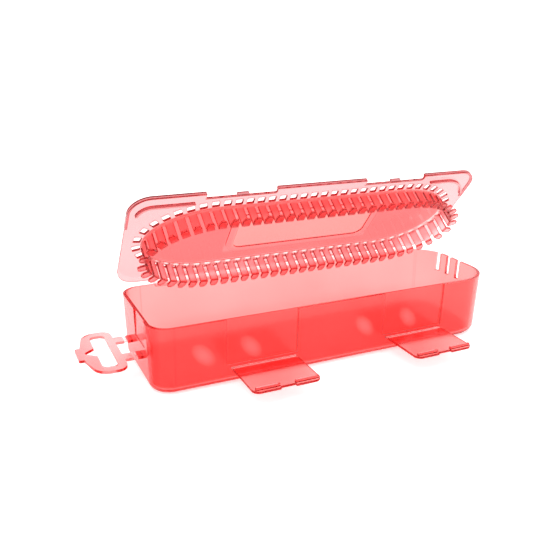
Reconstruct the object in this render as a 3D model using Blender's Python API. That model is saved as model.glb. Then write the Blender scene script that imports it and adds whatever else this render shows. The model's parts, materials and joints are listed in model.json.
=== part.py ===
"""Hinged storage case for a derma roller: a tray, a lid with spring fingers, two latches and a hang tab.

Metres, +Z up.  The origin is the middle of the tray's underside, +X runs along the case away from the
hang tab, +Y points to the lid's hinge.  The lid stands part-way open, and the latches and hang tab are
folded out.
"""
import math

import bmesh
import bpy
from mathutils import Vector

MM = 0.001

# Tray
TRAY_LENGTH = 170.0 * MM
TRAY_WIDTH = 53.6 * MM
TRAY_HEIGHT = 29.2 * MM
WALL = 1.5 * MM
FLOOR = 1.6 * MM
CORNER_RADIUS = 9.0 * MM
VENT_CORNER_RADIUS = 17.0 * MM
FOOT_RADIUS = 3.5 * MM
FOOT_STEPS = 4
TRAY_CORNER_STEPS = 8
DRAFT = 0.024

# Vent slots in the far end wall, and the shallow panel in the end wall above the hang tab
SLOT_COUNT = 3
SLOT_PITCH = 7.6 * MM
SLOT_WIDTH = 2.8 * MM
SLOT_DEPTH = 9.6 * MM
SLOT_MIDDLE_Y = 6.5 * MM
END_PANEL_WIDTH = 15.0 * MM
END_PANEL_MIDDLE_Y = -7.0 * MM
END_PANEL_ABOVE_TAB = 5.2 * MM
END_PANEL_DEPTH = 0.4 * MM

# Lid plate, with a rim along its front and a label frame on its inner face
LID_THICKNESS = 1.2 * MM
LID_OVERHANG_END = 0.8 * MM
LID_OVERHANG_FRONT = 1.8 * MM
LID_SEAT_GAP = 0.3 * MM
LID_CORNER_RADIUS = 9.5 * MM
LID_OPEN_ANGLE = math.radians(51.9)
RIM_WIDTH = 1.2 * MM
RIM_HEIGHT = 1.0 * MM
LATCH_BAY_DEPTH = 2.3 * MM
LATCH_BAY_STEP = 0.4 * MM
CATCH_LENGTH = 5.2 * MM
CATCH_WIDTH = 0.9 * MM
CATCH_HEIGHT = 0.9 * MM
LABEL_LENGTH = 76.0 * MM
LABEL_WIDTH = 27.6 * MM
LABEL_BAND = 3.4 * MM
LABEL_RAISE = 0.5 * MM
LABEL_RADIUS = 8.0 * MM
CORNER_RIB = 0.9 * MM
CORNER_RIB_DEPTH = 1.5 * MM
CORNER_RIB_START = 58.5 * MM
CORNER_RIB_SWEEP = 75
CORNER_RIB_CLEARANCE = 0.5 * MM

# Lid hinge: thin moulded webs on a rail behind the back wall
HINGE_BACK = 3.5 * MM
HINGE_ABOVE_RIM = 1.8 * MM
RAIL_END_MARGIN = 17.0 * MM
RAIL_THICKNESS = 1.4 * MM
RAIL_UPSTAND = 0.9 * MM
WEB_THICKNESS = 0.35 * MM
WEB_REACH = 0.5 * MM
LID_WEB_NAMES = ("left", "middle", "right")
LID_WEB_END_MARGIN = 3.0 * MM
LID_WEB_SPACE = 11.0 * MM
LID_WEB_LAP = 2.4 * MM

# Ring of spring fingers under the lid: a stadium with long elliptical ends
FINGER_PITCH = 5.16 * MM
FINGER_THICKNESS = 1.0 * MM
FINGER_SLIT = 1.0 * MM
FINGER_DROP = 10.8 * MM
FOOT_REACH = 3.6 * MM
FOOT_THICKNESS = 1.1 * MM
# each foot narrows at its tip: (share of the finger's half width, share of the foot's reach)
TOE_SHAPE = ((-1.0, 0.6), (-0.55, 1.0), (0.55, 1.0), (1.0, 0.6))
COLLAR_BAND = 1.1 * MM
COLLAR_END_CURVE = 32.5 * MM
COLLAR_END_CLEARANCE = 1.9 * MM
COLLAR_SIDE_CLEARANCE = 1.15 * MM
COLLAR_OFFSET_Y = 0.6 * MM
WINDOW_START = 1.2 * MM
WINDOW_LENGTH = 3.5 * MM
WINDOW_WIDTH = 3.3 * MM

# Latches
LATCH_SPACING = 76.0 * MM
LATCH_SHIFT = 0.7 * MM
LATCH_WIDTH = 29.8 * MM
LATCH_THICKNESS = 1.0 * MM
LATCH_CORNER = 3.0 * MM
LATCH_HINGE_HEIGHT = 7.8 * MM
LATCH_HINGE_FRONT = 0.7 * MM
LATCH_CLEARANCE = 0.2 * MM
POCKET_CLEARANCE = 1.4 * MM
POCKET_SHIFT = 0.5 * MM
BAY_CLEARANCE = 1.0 * MM
POCKET_DEPTH = 0.8 * MM
LUG_REACH = 0.8 * MM
BEAD_WIDTH = 1.0 * MM
BEAD_HEIGHT = 1.2 * MM
BEAD_LENGTH = 10.5 * MM
BEAD_SPACE = 6.6 * MM
NOTCH_DEPTH = 1.0 * MM

# Hang tab
TAB_THICKNESS = 1.2 * MM
TAB_HEIGHT = 12.0 * MM
TAB_HINGE_OUT = 2.6 * MM
TAB_ARM_MIDDLE = 8.7 * MM
TAB_ARM_WIDTH = 5.4 * MM
TAB_ARM_LENGTH = 4.6 * MM
TAB_BAR = 3.2 * MM
TAB_HALF_WIDTH = 19.5 * MM
TAB_RING_DEPTH = 15.2 * MM
TAB_SHOULDER = 4.5 * MM
TAB_FAR_SHOULDER = (5.6 * MM, 5.9 * MM)
TAB_FAR_SLOPE = 3.3 * MM
TAB_TIP_LENGTH = 2.1 * MM
TAB_TIP_WIDTH = 11.6 * MM
TAB_TIP_RADIUS = 0.9 * MM
HANG_SLOT_LENGTH = 31.0 * MM
HANG_SLOT_WIDTH = 6.4 * MM
HANG_SLOT_RADIUS = 2.4 * MM
HANG_SLOT_PEAK = 4.4 * MM
HANG_SLOT_PEAK_WIDTH = 7.6 * MM
HANG_SLOT_PEAK_RADIUS = 0.8 * MM

JOIN_GAP = 0.3 * MM
CUT_SPARE = 2.0 * MM
WELD = 0.01 * MM
SIDES = (-1, 1)

# Worked out from the sizes above
HINGE_Y = TRAY_WIDTH / 2 + HINGE_BACK
HINGE_Z = TRAY_HEIGHT + HINGE_ABOVE_RIM
LATCH_HINGE_Y = -TRAY_WIDTH / 2 - LATCH_HINGE_FRONT
TAB_HINGE_X = -TRAY_LENGTH / 2 - TAB_HINGE_OUT
RAIL_LENGTH = TRAY_LENGTH - 2 * RAIL_END_MARGIN
POCKET_WIDTH = LATCH_WIDTH + 2 * POCKET_CLEARANCE
BAY_WIDTH = LATCH_WIDTH + 2 * BAY_CLEARANCE
FINGER_ROOM = WALL + FOOT_REACH + FINGER_THICKNESS / 2
COLLAR_HALF_LENGTH = TRAY_LENGTH / 2 - FINGER_ROOM - COLLAR_END_CLEARANCE
COLLAR_HALF_WIDTH = TRAY_WIDTH / 2 - FINGER_ROOM - COLLAR_SIDE_CLEARANCE
COLLAR_HALF_STRAIGHT = COLLAR_HALF_LENGTH - COLLAR_END_CURVE

# The lid is drawn closed, seen from its hinge axis: heights and distances from that axis
LID_INNER = TRAY_HEIGHT + LID_SEAT_GAP - HINGE_Z
LID_OUTER = LID_INNER + LID_THICKNESS
LID_CORE = LID_INNER + LID_THICKNESS / 2
LID_FRONT = -TRAY_WIDTH / 2 - LID_OVERHANG_FRONT - HINGE_Y
LID_HALF_LENGTH = TRAY_LENGTH / 2 + LID_OVERHANG_END
COLLAR_MIDDLE = Vector((0, COLLAR_OFFSET_Y - HINGE_Y))


def plastic(name, colour, roughness):
    made = bpy.data.materials.new(name)
    made.use_nodes = True
    shader = made.node_tree.nodes["Principled BSDF"]
    shader.inputs["Base Color"].default_value = (*colour, 1.0)
    shader.inputs["Roughness"].default_value = roughness
    shader.inputs["Metallic"].default_value = 0.0
    made.diffuse_color = (*colour, 1.0)
    return made


def place(name, shape, finish=None, location=(0, 0, 0), parent=None):
    """Turn a bmesh into a scene object with its faces pointing out."""
    bmesh.ops.remove_doubles(shape, verts=shape.verts, dist=WELD)
    bmesh.ops.recalc_face_normals(shape, faces=shape.faces)
    mesh = bpy.data.meshes.new(name)
    shape.to_mesh(mesh)
    shape.free()
    made = bpy.data.objects.new(name, mesh)
    made.location = location
    made.parent = parent
    bpy.context.collection.objects.link(made)
    if finish is not None:
        mesh.materials.append(finish)
    return made


def cut(target, tool, operation="DIFFERENCE"):
    """Add one exact Boolean to target, and hide its tool."""
    step = target.modifiers.new(tool.name, "BOOLEAN")
    step.object = tool
    step.operation = operation
    step.solver = "EXACT"
    tool.hide_render = True
    tool.display_type = "WIRE"


def add_loft(shape, rings):
    """Add one closed body through loops that have the same number of points."""
    loops = [[shape.verts.new(point) for point in ring] for ring in rings]
    for near, far in zip(loops, loops[1:]):
        for i in range(len(near)):
            j = (i + 1) % len(near)
            shape.faces.new((near[i], near[j], far[j], far[i]))
    shape.faces.new(loops[0][::-1])
    shape.faces.new(loops[-1])


def loft(rings):
    shape = bmesh.new()
    add_loft(shape, rings)
    return shape


def prism(outline, low, high):
    """Extrude a closed outline of (x, y) points from one height to another."""
    return loft([[(x, y, height) for x, y in outline] for height in (low, high)])


def prism_along_x(outline, low, high):
    """Extrude a closed outline of (y, z) points along X."""
    return loft([[(x, y, z) for y, z in outline] for x in (low, high)])


def box(low, high):
    outline = [(low[0], low[1]), (high[0], low[1]), (high[0], high[1]), (low[0], high[1])]
    return prism(outline, low[2], high[2])


def arc(centre, radius_x, radius_y, start, end, steps):
    """Points on an ellipse, from start to end in degrees."""
    angles = [math.radians(start + (end - start) * i / steps) for i in range(steps + 1)]
    return [(centre[0] + radius_x * math.cos(a), centre[1] + radius_y * math.sin(a)) for a in angles]


def rounded_rectangle(half_x, half_y, radius, steps, middle=(0, 0), right_radius=None):
    """Outline with rounded corners; the two at the +X end may have a radius of their own."""
    points = []
    for turn, (side_x, side_y) in enumerate(((1, 1), (-1, 1), (-1, -1), (1, -1))):
        r = right_radius if right_radius and side_x > 0 else radius
        centre = (middle[0] + side_x * (half_x - r), middle[1] + side_y * (half_y - r))
        points += arc(centre, r, r, 90 * turn, 90 * turn + 90, steps)
    return points


def mirrored(outline):
    """Close an outline drawn on the +Y side with its mirror image."""
    return outline + [(x, -y) for x, y in reversed(outline)]


def wall_face(height):
    """Distance from the middle plane to the front or back wall's outer face."""
    return TRAY_WIDTH / 2 - DRAFT * (TRAY_HEIGHT - height)


def tray_ring(height, inset):
    """Outline of the tray at a height: drafted walls, moved in by inset."""
    shrink = DRAFT * (TRAY_HEIGHT - height) + inset
    tighter = min(inset, FOOT_RADIUS)
    outline = rounded_rectangle(TRAY_LENGTH / 2 - shrink, TRAY_WIDTH / 2 - shrink, CORNER_RADIUS - tighter,
                                TRAY_CORNER_STEPS, right_radius=VENT_CORNER_RADIUS - tighter)
    return [(x, y, height) for x, y in outline]


def tray_rings():
    """Up the outside, over the rim and down the inside."""
    rings = []
    for i in range(FOOT_STEPS + 1):
        angle = math.pi / 2 * i / FOOT_STEPS
        rings.append(tray_ring(FOOT_RADIUS * (1 - math.cos(angle)), FOOT_RADIUS * (1 - math.sin(angle))))
    rings.append(tray_ring(TRAY_HEIGHT, 0))
    rings.append(tray_ring(TRAY_HEIGHT, WALL))
    inner_radius = FOOT_RADIUS - WALL
    for i in range(FOOT_STEPS):
        angle = math.pi / 2 * i / (FOOT_STEPS - 1)
        rings.append(tray_ring(FLOOR + inner_radius * (1 - math.sin(angle)),
                               WALL + inner_radius * (1 - math.cos(angle))))
    return rings


def hinge_rail():
    """Ledge behind the back wall, with a low upstand for the lid's webs."""
    top = HINGE_Z - JOIN_GAP
    ledge_top = TRAY_HEIGHT - JOIN_GAP
    ledge_low = ledge_top - RAIL_THICKNESS
    root = wall_face(ledge_low) - WALL / 2
    face = HINGE_Y + JOIN_GAP
    outline = [(root, ledge_low), (face + RAIL_UPSTAND, ledge_low), (face + RAIL_UPSTAND, top),
               (face, top), (face, ledge_top), (root, ledge_top)]
    return prism_along_x(outline, -RAIL_LENGTH / 2, RAIL_LENGTH / 2)


def latch_pocket(middle):
    """Cutter for the shallow pocket in the front wall that the closed latch lies in."""
    low, top = LATCH_HINGE_HEIGHT + LATCH_THICKNESS, TRAY_HEIGHT + CUT_SPARE
    outline = [(-wall_face(low) + POCKET_DEPTH, low), (-wall_face(low) - CUT_SPARE, low),
               (-wall_face(top) - CUT_SPARE, top), (-wall_face(top) + POCKET_DEPTH, top)]
    return prism_along_x(outline, middle - POCKET_WIDTH / 2, middle + POCKET_WIDTH / 2)


def latch_lug(middle):
    """Ledge on the front wall that carries a latch's hinge web."""
    low = LATCH_HINGE_HEIGHT - LATCH_THICKNESS / 2
    return box((middle - LATCH_WIDTH / 2, LATCH_HINGE_Y + LUG_REACH, low),
               (middle + LATCH_WIDTH / 2, -wall_face(low) + WALL / 2, low + LATCH_THICKNESS))


def tab_root(middle):
    """Stub on the end wall that carries one of the hang tab's hinge webs."""
    low = TAB_HEIGHT - TAB_THICKNESS / 2
    wall_x = -TRAY_LENGTH / 2 + DRAFT * (TRAY_HEIGHT - TAB_HEIGHT) + WALL / 2
    return box((TAB_HINGE_X + LUG_REACH, middle - TAB_ARM_WIDTH / 2, low),
               (wall_x, middle + TAB_ARM_WIDTH / 2, low + TAB_THICKNESS))


def make_tray(finish):
    tray = place("base_tray", loft(tray_rings()), finish)
    cut(tray, place("hinge_rail_stock", hinge_rail()), "UNION")
    for side in SIDES:
        middle = side * LATCH_SPACING / 2
        cut(tray, place(f"latch_pocket_cutter_{side}", latch_pocket(middle + POCKET_SHIFT)))
        cut(tray, place(f"latch_lug_stock_{side}", latch_lug(middle + LATCH_SHIFT)), "UNION")
        cut(tray, place(f"tab_root_stock_{side}", tab_root(side * TAB_ARM_MIDDLE)), "UNION")

    end = TRAY_LENGTH / 2
    above = TRAY_HEIGHT + CUT_SPARE
    for i in range(SLOT_COUNT):
        middle = SLOT_MIDDLE_Y + (i - (SLOT_COUNT - 1) / 2) * SLOT_PITCH
        slot = box((end - WALL - 2 * CUT_SPARE, middle - SLOT_WIDTH / 2, TRAY_HEIGHT - SLOT_DEPTH),
                   (end + CUT_SPARE, middle + SLOT_WIDTH / 2, above))
        cut(tray, place(f"vent_slot_cutter_{i}", slot))
    panel_low = TAB_HEIGHT + END_PANEL_ABOVE_TAB
    panel_face = END_PANEL_DEPTH + DRAFT * (TRAY_HEIGHT - panel_low) / 2 - end
    panel = box((-end - CUT_SPARE, END_PANEL_MIDDLE_Y - END_PANEL_WIDTH / 2, panel_low),
                (panel_face, END_PANEL_MIDDLE_Y + END_PANEL_WIDTH / 2, above))
    cut(tray, place("end_panel_cutter", panel))


def collar_places():
    """Slit middles and finger middles in turn round the collar, as (point, outward normal), and the pitch."""
    line = []
    for turn in range(4):
        side = 1 if turn in (0, 3) else -1
        line += arc((side * COLLAR_HALF_STRAIGHT, 0), COLLAR_END_CURVE, COLLAR_HALF_WIDTH,
                    90 * turn, 90 * turn + 90, 90)
    lengths = [0.0]
    for here, after in zip(line, line[1:] + line[:1]):
        lengths.append(lengths[-1] + math.dist(here, after))
    # the walk starts in the middle of the straight side, where a slit is
    quarter = len(line) // 4 - 1
    start = lengths[quarter] + COLLAR_HALF_STRAIGHT
    count = 2 * round(lengths[-1] / FINGER_PITCH / 2)
    places = []
    for step in range(2 * count):
        want = (start + lengths[-1] * step / (2 * count)) % lengths[-1]
        i = max(j for j in range(len(line)) if lengths[j] <= want)
        here, after = Vector(line[i]), Vector(line[(i + 1) % len(line)])
        along = (after - here).normalized()
        places.append((here + along * (want - lengths[i]), Vector((along.y, -along.x))))
    return places, lengths[-1] / count


def beside(spot, across, out, height):
    """A point near a place on the collar: across and outwards from it, at a height."""
    middle, normal = spot
    where = COLLAR_MIDDLE + middle + normal * out + Vector((-normal.y, normal.x)) * across
    return (where.x, where.y, height)


def front_rim(hinge):
    """Raised rim along the front and round the front corners of the lid's outer face."""
    middle = (0, LID_FRONT / 2)
    outside = rounded_rectangle(LID_HALF_LENGTH, -LID_FRONT / 2, LID_CORNER_RADIUS, 8, middle)
    inside = rounded_rectangle(LID_HALF_LENGTH - RIM_WIDTH, -LID_FRONT / 2 - RIM_WIDTH,
                               LID_CORNER_RADIUS - RIM_WIDTH, 8, middle)
    top = LID_OUTER + RIM_HEIGHT
    rim = place("rim_stock", prism(outside, LID_CORE, top), parent=hinge)
    cut(rim, place("rim_core", prism(inside, LID_CORE - CUT_SPARE, top + CUT_SPARE), parent=hinge))
    behind = box((-LID_HALF_LENGTH - CUT_SPARE, LID_FRONT + 2 * LID_CORNER_RADIUS, LID_CORE - CUT_SPARE),
                 (LID_HALF_LENGTH + CUT_SPARE, CUT_SPARE, top + CUT_SPARE))
    cut(rim, place("rim_trim", behind, parent=hinge))
    return rim


def label_frame(hinge):
    """Raised band round the label panel, on the lid's inner face."""
    middle = COLLAR_MIDDLE
    outside = rounded_rectangle(LABEL_LENGTH / 2, LABEL_WIDTH / 2, LABEL_RADIUS, 5, middle)
    inside = rounded_rectangle(LABEL_LENGTH / 2 - LABEL_BAND, LABEL_WIDTH / 2 - LABEL_BAND,
                               LABEL_RADIUS - LABEL_BAND, 5, middle)
    frame = place("label_stock", prism(outside, LID_INNER - LABEL_RAISE, LID_CORE), parent=hinge)
    core = prism(inside, LID_INNER - CUT_SPARE, LID_OUTER + CUT_SPARE)
    cut(frame, place("label_core", core, parent=hinge))
    return frame


def corner_rib(side):
    """Rib under a front corner of the lid that centres it in the tray."""
    gap = WALL + CORNER_RIB_CLEARANCE
    tray_radius = VENT_CORNER_RADIUS if side > 0 else CORNER_RADIUS
    radius = tray_radius - gap
    corner = (side * (TRAY_LENGTH / 2 - tray_radius), tray_radius - TRAY_WIDTH / 2 - HINGE_Y)
    end = 270 + side * CORNER_RIB_SWEEP
    outside = arc(corner, radius, radius, 270, end, 7)
    inside = arc(corner, radius - CORNER_RIB, radius - CORNER_RIB, end, 270, 7)
    run_x = side * CORNER_RIB_START
    outline = [(run_x, outside[0][1])] + outside + inside + [(run_x, inside[-1][1])]
    return prism(outline, LID_INNER - CORNER_RIB_DEPTH, LID_CORE)


def window_cutters():
    """One square opening in the lid outside each finger's root."""
    windows = bmesh.new()
    inner_edge = WINDOW_START
    outer_edge = inner_edge + WINDOW_LENGTH
    half = WINDOW_WIDTH / 2
    outline = [(-half, inner_edge), (half, inner_edge), (half, outer_edge), (-half, outer_edge)]
    places, _ = collar_places()
    for spot in places[1::2]:
        add_loft(windows, [[beside(spot, across, out, height) for across, out in outline]
                           for height in (LID_INNER - CUT_SPARE, LID_OUTER + CUT_SPARE)])
    return windows


def make_lid(finish, hinge):
    plate = rounded_rectangle(LID_HALF_LENGTH, -LID_FRONT / 2, LID_CORNER_RADIUS, 8, (0, LID_FRONT / 2))
    lid = place("lid", prism(plate, LID_INNER, LID_OUTER), finish, parent=hinge)
    cut(lid, front_rim(hinge), "UNION")
    cut(lid, label_frame(hinge), "UNION")
    for side in SIDES:
        middle = side * LATCH_SPACING / 2
        left, right = middle - BAY_WIDTH / 2, middle + BAY_WIDTH / 2
        bay_front, bay_back = LID_FRONT - CUT_SPARE, LID_FRONT + LATCH_BAY_DEPTH
        bay = box((left, bay_front, LID_INNER - CUT_SPARE), (right, bay_back, LID_OUTER + CUT_SPARE))
        cut(lid, place(f"latch_bay_cutter_{side}", bay, parent=hinge))
        seat = box((left, bay_front, LID_OUTER - LATCH_BAY_STEP),
                   (right, bay_back + BEAD_HEIGHT, LID_OUTER + CUT_SPARE))
        cut(lid, place(f"latch_seat_cutter_{side}", seat, parent=hinge))
        catch_middle = middle + LATCH_SHIFT
        catch = box((catch_middle - CATCH_LENGTH / 2, bay_back, LID_CORE),
                    (catch_middle + CATCH_LENGTH / 2, bay_back + CATCH_WIDTH, LID_OUTER + CATCH_HEIGHT))
        cut(lid, place(f"catch_stock_{side}", catch, parent=hinge), "UNION")
        cut(lid, place(f"corner_rib_stock_{side}", corner_rib(side), parent=hinge), "UNION")
    cut(lid, place("window_cutters", window_cutters(), parent=hinge))


def make_collar(finish, hinge):
    """The ring: a root band with L-shaped fingers standing on it, their feet turned outwards."""
    top = LID_INNER - JOIN_GAP
    band_low = top - COLLAR_BAND
    foot_low = LID_INNER - FINGER_DROP
    foot_top = foot_low + FOOT_THICKNESS
    face = FINGER_THICKNESS / 2
    places, pitch = collar_places()

    band = bmesh.new()
    profile = ((-face, top), (face, top), (face, band_low), (-face, band_low))
    loops = [[band.verts.new(beside(spot, 0, out, height)) for spot in places] for out, height in profile]
    for loop, following in zip(loops, loops[1:] + loops[:1]):
        for i in range(len(places)):
            j = (i + 1) % len(places)
            band.faces.new((loop[i], loop[j], following[j], following[i]))
    collar = place("finger_collar", band, finish, parent=hinge)

    half = (pitch - FINGER_SLIT) / 2
    root = (top + band_low) / 2
    fingers = bmesh.new()
    for spot in places[1::2]:
        slices = []
        for across, reach in TOE_SHAPE:
            toe = face + FOOT_REACH * reach
            outline = ((-face, root), (face, root), (face, foot_top), (toe, foot_top), (toe, foot_low),
                       (-face, foot_low))
            slices.append([beside(spot, half * across, out, height) for out, height in outline])
        add_loft(fingers, slices)
    cut(collar, place("finger_stock", fingers, parent=hinge), "UNION")


def make_lid_webs(finish):
    """Living-hinge strips: each leaves the rail's top and bends over onto the lid's outer face."""
    along = Vector((-math.cos(LID_OPEN_ANGLE), math.sin(LID_OPEN_ANGLE)))
    away = Vector((math.sin(LID_OPEN_ANGLE), math.cos(LID_OPEN_ANGLE)))
    axis = Vector((HINGE_Y, HINGE_Z))
    lift = away * (LID_OUTER + JOIN_GAP + WEB_THICKNESS / 2)
    line = [axis + Vector((JOIN_GAP + WEB_THICKNESS / 2, WEB_THICKNESS / 2)),
            axis + along * WEB_REACH + lift, axis + along * LID_WEB_LAP + lift]
    near, far = [], []
    for i, point in enumerate(line):
        run = (line[min(i + 1, len(line) - 1)] - line[max(i - 1, 0)]).normalized()
        across = Vector((-run.y, run.x)) * (WEB_THICKNESS / 2)
        near.append(point + across)
        far.append(point - across)
    outline = near + far[::-1]
    count = len(LID_WEB_NAMES)
    room = RAIL_LENGTH - 2 * LID_WEB_END_MARGIN - (count - 1) * LID_WEB_SPACE
    length = room / count
    for i, name in enumerate(LID_WEB_NAMES):
        low = -RAIL_LENGTH / 2 + LID_WEB_END_MARGIN + i * (length + LID_WEB_SPACE)
        place(f"lid_hinge_web_{name}", prism_along_x(outline, low, low + length), finish)


def make_latch(name, side, finish, web_finish):
    """Latch plate with its origin on its hinge axis, folded out level: it runs towards -Y."""
    half = LATCH_WIDTH / 2
    top = LATCH_THICKNESS / 2
    notch = BEAD_SPACE / 2
    seat_height = TRAY_HEIGHT + LID_SEAT_GAP + LID_THICKNESS - LATCH_BAY_STEP
    reach = seat_height + LATCH_CLEARANCE - LATCH_HINGE_HEIGHT + BEAD_WIDTH
    corner = half - LATCH_CORNER
    outline = [(-half, -LUG_REACH)]
    outline += arc((-corner, -reach + LATCH_CORNER), LATCH_CORNER, LATCH_CORNER, 180, 270, 5)
    notch_end = -reach + NOTCH_DEPTH
    outline += [(-notch, -reach), (-notch, notch_end), (notch, notch_end), (notch, -reach)]
    outline += arc((corner, -reach + LATCH_CORNER), LATCH_CORNER, LATCH_CORNER, 270, 360, 5)
    outline += [(half, -LUG_REACH)]
    where = (side * LATCH_SPACING / 2 + LATCH_SHIFT, LATCH_HINGE_Y, LATCH_HINGE_HEIGHT)
    latch = place(name, prism(outline, -top, top), finish, where)

    peak = top + BEAD_HEIGHT
    bead = [(-reach + BEAD_WIDTH, 0), (-reach + BEAD_WIDTH, peak), (-reach + BEAD_WIDTH / 2, peak),
            (-reach, peak / 2), (-reach, 0)]
    for hand in SIDES:
        middle = hand * (notch + BEAD_LENGTH / 2)
        stock = prism_along_x(bead, middle - BEAD_LENGTH / 2, middle + BEAD_LENGTH / 2)
        cut(latch, place(f"{name}_bead_stock_{hand}", stock, None, where), "UNION")
    web = box((-half, -WEB_REACH, -WEB_THICKNESS / 2), (half, WEB_REACH, WEB_THICKNESS / 2))
    place(f"{name}_hinge_web", web, web_finish, where)


def tab_outline():
    """The loop's outer edge, seen from its hinge axis: two arms, shoulders and a small tip."""
    arm_end = -TAB_ARM_LENGTH
    ring_end = arm_end - TAB_RING_DEPTH
    tip_half = TAB_TIP_WIDTH / 2
    arm_low, arm_high = TAB_ARM_MIDDLE - TAB_ARM_WIDTH / 2, TAB_ARM_MIDDLE + TAB_ARM_WIDTH / 2
    near_r, (far_x, far_y), tip_r = TAB_SHOULDER, TAB_FAR_SHOULDER, TAB_TIP_RADIUS
    edge = [(-LUG_REACH, arm_low), (-LUG_REACH, arm_high), (arm_end, arm_high)]
    edge += arc((arm_end - near_r, TAB_HALF_WIDTH - near_r), near_r, near_r, 20, 90, 5)
    far_middle = (ring_end + TAB_FAR_SLOPE + far_x, TAB_HALF_WIDTH - far_y)
    edge += arc(far_middle, far_x, far_y, 95, 160, 5)
    edge += [(ring_end, tip_half)]
    edge += arc((ring_end - TAB_TIP_LENGTH + tip_r, tip_half - tip_r), tip_r, tip_r, 90, 180, 3)
    return mirrored([(arm_end, arm_low)] + edge)


def hang_slot():
    """The long slot with a rounded peak on its far side."""
    near = -TAB_ARM_LENGTH - TAB_BAR
    far = near - HANG_SLOT_WIDTH
    radius = HANG_SLOT_RADIUS
    corner = HANG_SLOT_LENGTH / 2 - radius
    edge = arc((near - radius, corner), radius, radius, 0, 90, 5)
    edge += arc((far + radius, corner), radius, radius, 90, 180, 5)
    edge += [(far, HANG_SLOT_PEAK_WIDTH / 2)]
    peak_r = HANG_SLOT_PEAK_RADIUS
    edge += arc((far - HANG_SLOT_PEAK + peak_r, 0), peak_r, peak_r, 120, 160, 2)
    return mirrored(edge)


def make_hang_tab(finish, web_finish):
    """Loop with the hang slot, its origin on its hinge axis: it runs towards -X."""
    where = (TAB_HINGE_X, 0, TAB_HEIGHT)
    tab = place("hang_tab", prism(tab_outline(), -TAB_THICKNESS / 2, TAB_THICKNESS / 2), finish, where)
    cut(tab, place("hang_slot_cutter", prism(hang_slot(), -CUT_SPARE, CUT_SPARE), None, where))
    for name, side in (("front", -1), ("back", 1)):
        middle = side * TAB_ARM_MIDDLE
        web = box((-WEB_REACH, middle - TAB_ARM_WIDTH / 2, -WEB_THICKNESS / 2),
                  (WEB_REACH, middle + TAB_ARM_WIDTH / 2, WEB_THICKNESS / 2))
        place(f"hang_tab_hinge_web_{name}", web, web_finish, where)


def shade(sharp_angle):
    for item in bpy.context.scene.objects:
        if item.type == "MESH" and not item.hide_render:
            item.data.shade_smooth()
            item.data.set_sharp_from_angle(angle=math.radians(sharp_angle))


for item in list(bpy.data.objects):
    bpy.data.objects.remove(item, do_unlink=True)

tray_red = plastic("tray_red", (1.0, 0.09, 0.09), 0.28)
lid_rose = plastic("lid_rose", (1.0, 0.45, 0.43), 0.22)
finger_rose = plastic("finger_rose", (1.0, 0.30, 0.30), 0.25)
latch_red = plastic("latch_red", (1.0, 0.20, 0.20), 0.25)
tab_rose = plastic("tab_rose", (0.95, 0.38, 0.38), 0.3)
web_rose = plastic("web_rose", (1.0, 0.55, 0.53), 0.3)

lid_hinge = bpy.data.objects.new("lid_hinge_axis", None)
bpy.context.collection.objects.link(lid_hinge)
lid_hinge.location = (0, HINGE_Y, HINGE_Z)
lid_hinge.rotation_euler = (-LID_OPEN_ANGLE, 0, 0)

make_tray(tray_red)
make_lid(lid_rose, lid_hinge)
make_collar(finger_rose, lid_hinge)
make_lid_webs(web_rose)
make_latch("latch_left", -1, latch_red, web_rose)
make_latch("latch_right", 1, latch_red, web_rose)
make_hang_tab(tab_rose, web_rose)
shade(35)
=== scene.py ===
"""The looks of a translucent red storage case with a half-open lid, built round its CAD frame.

Metres, in the frame's own axes: +X along the case, +Y towards the lid's hinge, +Z up.
"""
import json
import math

import bmesh
import bpy
from mathutils import Euler, Matrix, Vector


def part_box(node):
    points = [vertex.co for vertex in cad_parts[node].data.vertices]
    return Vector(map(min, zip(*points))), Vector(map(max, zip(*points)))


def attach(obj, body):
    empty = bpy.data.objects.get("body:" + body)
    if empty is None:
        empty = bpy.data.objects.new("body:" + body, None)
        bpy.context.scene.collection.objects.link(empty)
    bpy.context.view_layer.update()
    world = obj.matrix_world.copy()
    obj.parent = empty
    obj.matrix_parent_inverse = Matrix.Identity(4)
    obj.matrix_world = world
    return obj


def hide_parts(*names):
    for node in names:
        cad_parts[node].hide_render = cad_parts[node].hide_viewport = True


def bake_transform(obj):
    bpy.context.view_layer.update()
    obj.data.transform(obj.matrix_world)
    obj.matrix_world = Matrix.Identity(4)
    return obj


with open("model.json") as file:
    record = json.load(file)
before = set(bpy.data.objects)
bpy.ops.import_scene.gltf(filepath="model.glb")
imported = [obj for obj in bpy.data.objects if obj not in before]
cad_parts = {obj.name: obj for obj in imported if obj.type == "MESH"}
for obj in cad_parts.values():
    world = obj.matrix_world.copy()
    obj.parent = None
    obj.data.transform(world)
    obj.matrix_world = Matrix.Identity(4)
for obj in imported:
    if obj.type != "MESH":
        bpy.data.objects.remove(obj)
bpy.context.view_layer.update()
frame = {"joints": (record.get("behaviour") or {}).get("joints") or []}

# ------------------------------------------------------------------ base tray
# A deep tub moulded in red polypropylene, slightly frosted, with drafted walls and a rounded foot.
# The same moulding has the latch pockets and lugs, the vent slots, the hang tab's stubs and the rail that
# the lid hangs on.
MM = 0.001
pivots = {joint["name"]: Vector(joint["pos_m"]) for joint in frame["joints"]}
tray_low, tray_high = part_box("base_tray")
HALF_LENGTH = tray_high.x
HALF_WIDTH = -tray_low.y
RIM_Z = pivots["lid_hinge"].z - 1.8 * MM
WALL = 1.5 * MM
DRAFT = 0.024
TRAY_CORNERS = {-1: 9.0 * MM, 1: 17.0 * MM}
TRAY_FOOT = 3.5 * MM
SPARE = 2.0 * MM


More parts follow.
